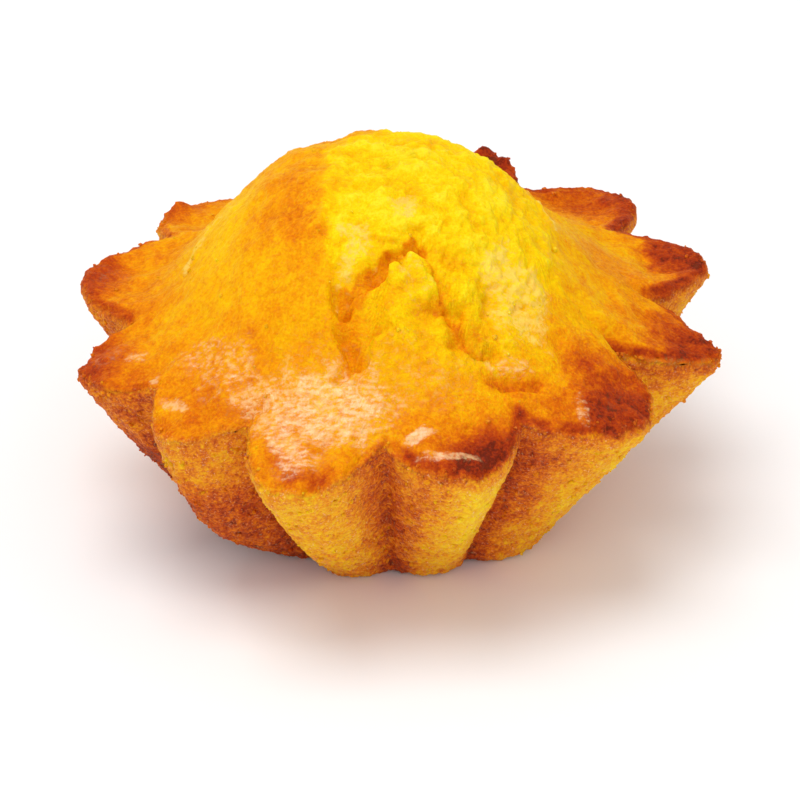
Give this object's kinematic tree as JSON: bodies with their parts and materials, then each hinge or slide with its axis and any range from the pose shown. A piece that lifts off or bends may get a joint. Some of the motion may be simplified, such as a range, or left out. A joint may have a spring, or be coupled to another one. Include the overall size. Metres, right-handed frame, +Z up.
{
  "type": "small fluted sponge cake",
  "caption": "Small golden sponge cake baked in a fluted tin, with a narrow flat base, flared ribs, an uneven lobed rim and a tall split dome.",
  "frame": {"origin": "middle of the flat base", "axes": "+Z up; -Y towards the side where the dome is split; +X to the right as that side is looked at"},
  "size_m": [0.0777, 0.0763, 0.0473],
  "materials": {
    "sponge": "moist golden sponge, lemon yellow where the dome is torn, with a satin orange crust that browns at the rim"
  },
  "bodies": {
    "root": {"cake": "sponge"}
  },
  "joints": []
}
